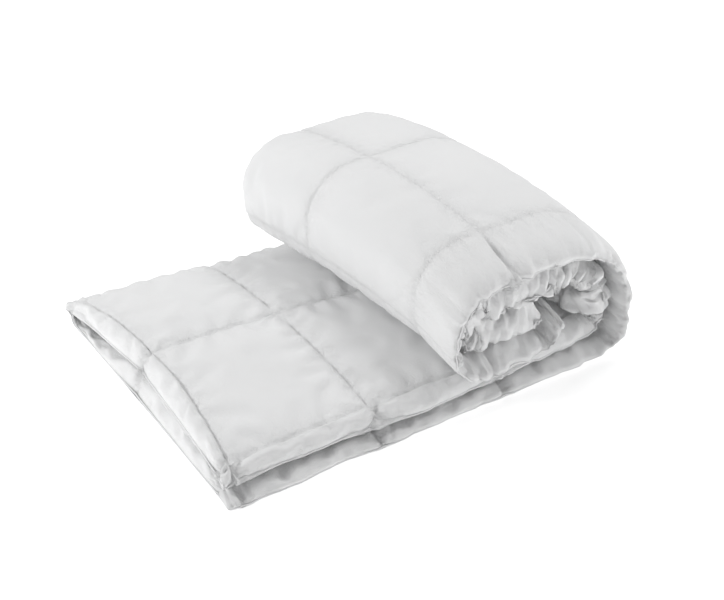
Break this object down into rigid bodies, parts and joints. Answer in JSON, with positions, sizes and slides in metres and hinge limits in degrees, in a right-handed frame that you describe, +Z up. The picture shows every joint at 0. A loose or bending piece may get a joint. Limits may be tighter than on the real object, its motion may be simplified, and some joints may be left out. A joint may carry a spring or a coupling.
{
  "type": "duvet",
  "caption": "White box-quilted down duvet, folded in half along its length and rolled up from one end, with a flat open tail.",
  "frame": {"origin": "On the floor, under the middle of the whole duvet's bounding box.", "axes": "X runs along the duvet from the open end of the tail at -X to the roll at +X. Y runs across it from the open hems at -Y to the fold at +Y. Z is up."},
  "size_m": [0.8858, 0.6734, 0.3318],
  "materials": {
    "panel_outer": "matte",
    "panel_inner": "matte",
    "baffle_grid": "matte",
    "hem_binding": "matte",
    "down_1_1": "matte",
    "down_1_2": "matte",
    "down_1_3": "matte",
    "down_1_4": "matte",
    "down_2_1": "matte",
    "down_2_2": "matte",
    "down_2_3": "matte",
    "down_2_4": "matte",
    "down_3_1": "matte",
    "down_3_2": "matte",
    "down_3_3": "matte",
    "down_3_4": "matte",
    "down_4_1": "matte",
    "down_4_2": "matte",
    "down_4_3": "matte",
    "down_4_4": "matte",
    "down_5_1": "matte",
    "down_5_2": "matte",
    "down_5_3": "matte",
    "down_5_4": "matte",
    "down_6_1": "matte",
    "down_6_2": "matte",
    "down_6_3": "matte",
    "down_6_4": "matte",
    "down_7_1": "matte",
    "down_7_2": "matte",
    "down_7_3": "matte",
    "down_7_4": "matte"
  },
  "bodies": {
    "root": {"panel_outer": "panel_outer", "panel_inner": "panel_inner", "baffle_grid": "baffle_grid", "hem_binding": "hem_binding", "down_1_1": "down_1_1", "down_1_2": "down_1_2", "down_1_3": "down_1_3", "down_1_4": "down_1_4", "down_2_1": "down_2_1", "down_2_2": "down_2_2", "down_2_3": "down_2_3", "down_2_4": "down_2_4", "down_3_1": "down_3_1", "down_3_2": "down_3_2", "down_3_3": "down_3_3", "down_3_4": "down_3_4", "down_4_1": "down_4_1", "down_4_2": "down_4_2", "down_4_3": "down_4_3", "down_4_4": "down_4_4", "down_5_1": "down_5_1", "down_5_2": "down_5_2", "down_5_3": "down_5_3", "down_5_4": "down_5_4", "down_6_1": "down_6_1", "down_6_2": "down_6_2", "down_6_3": "down_6_3", "down_6_4": "down_6_4", "down_7_1": "down_7_1", "down_7_2": "down_7_2", "down_7_3": "down_7_3", "down_7_4": "down_7_4"}
  },
  "joints": []
}
